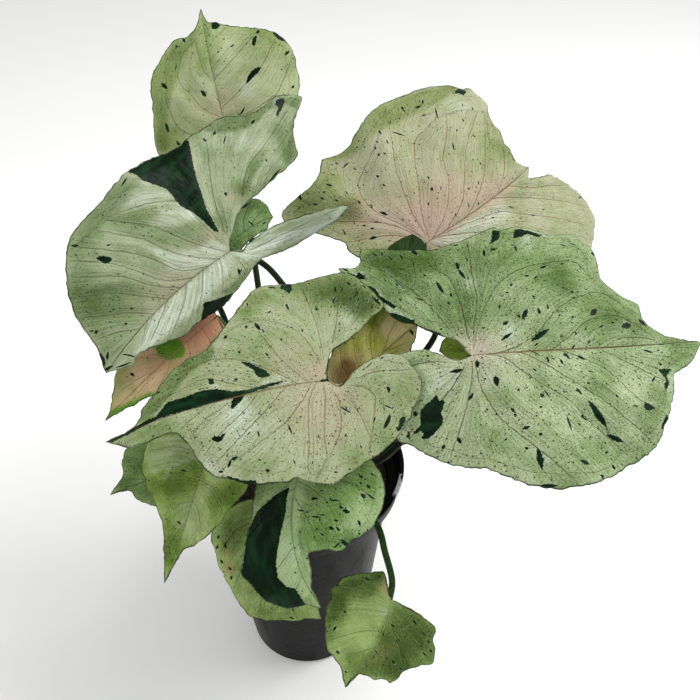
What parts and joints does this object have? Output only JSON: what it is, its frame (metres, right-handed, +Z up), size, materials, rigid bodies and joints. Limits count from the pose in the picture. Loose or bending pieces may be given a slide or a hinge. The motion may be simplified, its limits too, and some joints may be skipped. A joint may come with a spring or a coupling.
{
  "type": "potted syngonium plant",
  "caption": "Arrow-leaved climbing aroid with splashed cream, pink and green leaves, in a tapered black nursery pot.",
  "frame": {"origin": "centre of the pot's underside, on the surface it stands on", "axes": "+Z up along the pot's axis, -Y towards the front of the plant, +X to the right as seen from the front"},
  "size_m": [0.3217, 0.2924, 0.372],
  "materials": {
    "pot": "satin",
    "soil": "matte",
    "stem": "satin",
    "stalk": "satin",
    "leaf_front": "satin",
    "leaf_right_large": "satin",
    "leaf_rear_right": "satin",
    "leaf_rear_left": "satin",
    "leaf_left_silver": "satin",
    "leaf_small_rear": "satin",
    "leaf_small_right": "satin",
    "leaf_inner_right": "satin",
    "leaf_young_centre": "satin",
    "leaf_young_left": "satin",
    "leaf_lower_left": "satin",
    "leaf_far_left": "satin",
    "leaf_lower_centre": "satin",
    "leaf_under_front": "satin",
    "leaf_trailing_right": "satin"
  },
  "bodies": {
    "root": {"pot": "pot", "soil": "soil", "stem_rear": "stem", "stem_right": "stem", "stem_front": "stem", "blade_front": "leaf_front", "blade_right_large": "leaf_right_large", "blade_rear_right": "leaf_rear_right", "blade_rear_left": "leaf_rear_left", "blade_left_silver": "leaf_left_silver", "blade_small_rear": "leaf_small_rear", "blade_small_right": "leaf_small_right", "blade_inner_right": "leaf_inner_right", "blade_young_centre": "leaf_young_centre", "blade_young_left": "leaf_young_left", "blade_lower_left": "leaf_lower_left", "blade_far_left": "leaf_far_left", "blade_lower_centre": "leaf_lower_centre", "blade_under_front": "leaf_under_front", "blade_trailing_right": "leaf_trailing_right", "stalk_front": "stalk", "stalk_right_large": "stalk", "stalk_rear_right": "stalk", "stalk_rear_left": "stalk", "stalk_left_silver": "stalk", "stalk_small_rear": "stalk", "stalk_small_right": "stalk", "stalk_inner_right": "stalk", "stalk_young_centre": "stalk", "stalk_young_left": "stalk", "stalk_lower_left": "stalk", "stalk_far_left": "stalk", "stalk_lower_centre": "stalk", "stalk_under_front": "stalk", "stalk_trailing_right": "stalk"}
  },
  "joints": []
}
